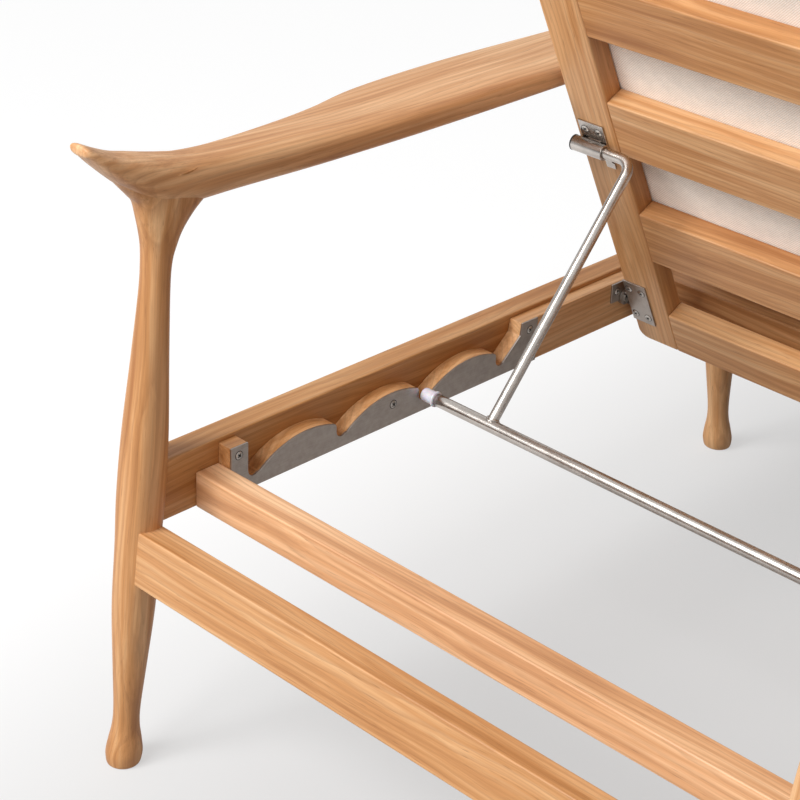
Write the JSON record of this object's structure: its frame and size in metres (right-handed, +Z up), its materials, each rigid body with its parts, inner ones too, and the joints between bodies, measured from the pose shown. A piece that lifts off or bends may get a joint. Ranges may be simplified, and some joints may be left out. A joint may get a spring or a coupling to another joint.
{
  "type": "reclining chaise longue",
  "caption": "Teak chaise longue with arms on the head half, a notched-rack reclining slatted back, bent steel supports and loose cushions.",
  "frame": {"origin": "middle of the footprint on the floor", "axes": "+X to the sitter's left, +Y from the foot end to the head end, +Z up"},
  "size_m": [0.8654, 1.9985, 0.8955],
  "materials": {
    "teak": "oiled, satin",
    "beech": "plain",
    "stainless_satin": "satin",
    "stainless_polished": "brushed bright",
    "stainless_fasteners": "satin",
    "nylon": "natural, translucent",
    "black_plastic": "matte",
    "cushion_fabric": "woven"
  },
  "bodies": {
    "frame": {"side_rail_head_left": "teak", "side_rail_head_right": "teak", "side_rail_foot_left": "teak", "side_rail_foot_right": "teak", "head_leg_left": "teak", "head_leg_right": "teak", "middle_leg_left": "teak", "middle_leg_right": "teak", "foot_leg_left": "teak", "foot_leg_right": "teak", "arm_left": "teak", "arm_right": "teak", "arm_dowels": "beech", "head_rail": "teak", "rest_rail": "teak", "seat_rear_rail": "teak", "foot_rail": "teak", "seat_slat_1": "teak", "seat_slat_2": "teak", "seat_slat_3": "teak", "seat_slat_4": "teak", "seat_slat_5": "teak", "seat_slat_6": "teak", "seat_slat_7": "teak", "seat_ledger_left": "teak", "seat_ledger_right": "teak", "slat_screws": "stainless_fasteners", "rack_board_left": "teak", "rack_board_right": "teak", "rack_plate_left": "stainless_satin", "rack_plate_right": "stainless_satin", "rack_screws": "stainless_fasteners", "hinge_frame_leaf_left": "stainless_satin", "hinge_frame_leaf_right": "stainless_satin", "hinge_pin_left": "stainless_fasteners", "hinge_pin_right": "stainless_fasteners", "hinge_frame_screws": "stainless_fasteners", "seat_cushion": "cushion_fabric"},
    "back": {"back_stile_left": "teak", "back_stile_right": "teak", "back_bottom_rail": "teak", "back_slat_1": "teak", "back_slat_2": "teak", "back_slat_3": "teak", "back_top_rail": "teak", "hinge_back_leaf_left": "stainless_satin", "hinge_back_leaf_right": "stainless_satin", "hinge_back_screws": "stainless_fasteners", "barrel_left": "stainless_polished", "barrel_right": "stainless_polished", "barrel_end_caps": "black_plastic", "barrel_screws": "stainless_fasteners", "back_cushion": "cushion_fabric"},
    "support": {"support_rod_left": "stainless_polished", "support_rod_right": "stainless_polished", "crossbar": "stainless_polished", "bar_cap_left": "nylon", "bar_cap_right": "nylon"}
  },
  "joints": [
    {"name": "back_hinge", "type": "hinge", "parent": "frame", "child": "back", "pos_m": [0, 0.29406, 0.2933], "axis": [1, 0, 0], "range_deg": [-63.3, 20.4]},
    {"name": "support_hinge", "type": "hinge", "parent": "back", "child": "support", "pos_m": [0, 0.41083, 0.50322], "axis": [1, 0, 0], "range_deg": [-36.5, 112]}
  ],
  "couplings": [
    {"joint": "support_hinge", "follows": "back_hinge", "ratio": -1.76}
  ]
}
